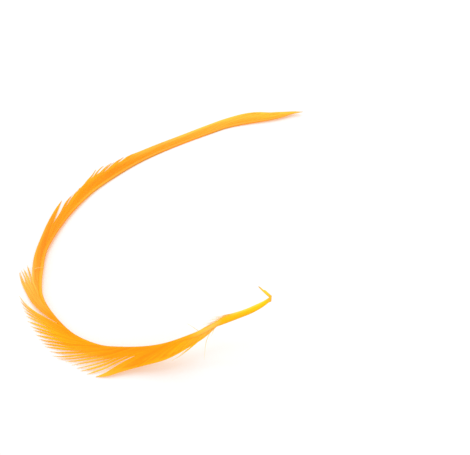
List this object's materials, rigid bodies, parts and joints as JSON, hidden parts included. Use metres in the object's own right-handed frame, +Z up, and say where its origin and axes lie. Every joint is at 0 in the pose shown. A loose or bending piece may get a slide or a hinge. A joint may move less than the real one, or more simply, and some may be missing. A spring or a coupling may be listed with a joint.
{
  "type": "goose biot feather",
  "caption": "Stiff dyed vane strip peeled from a goose flight feather, curled in a C with a bare quill end, for trims, millinery and fly tying.",
  "frame": {"origin": "centre of the bounding box, on the surface that the feather lies on", "axes": "+Z up from the surface, +Y from the base side of the C towards the ribbon's far side, +X towards the quill end and the tip"},
  "size_m": [0.128, 0.1375, 0.0292],
  "materials": {
    "dyed_biots": "satin, translucent keratin dyed orange",
    "quill_skin": "semi-gloss keratin dyed yellow to orange",
    "down": "soft pale fluff and loose fibres"
  },
  "bodies": {
    "root": {"biot_feather": "dyed_biots"}
  },
  "joints": []
}
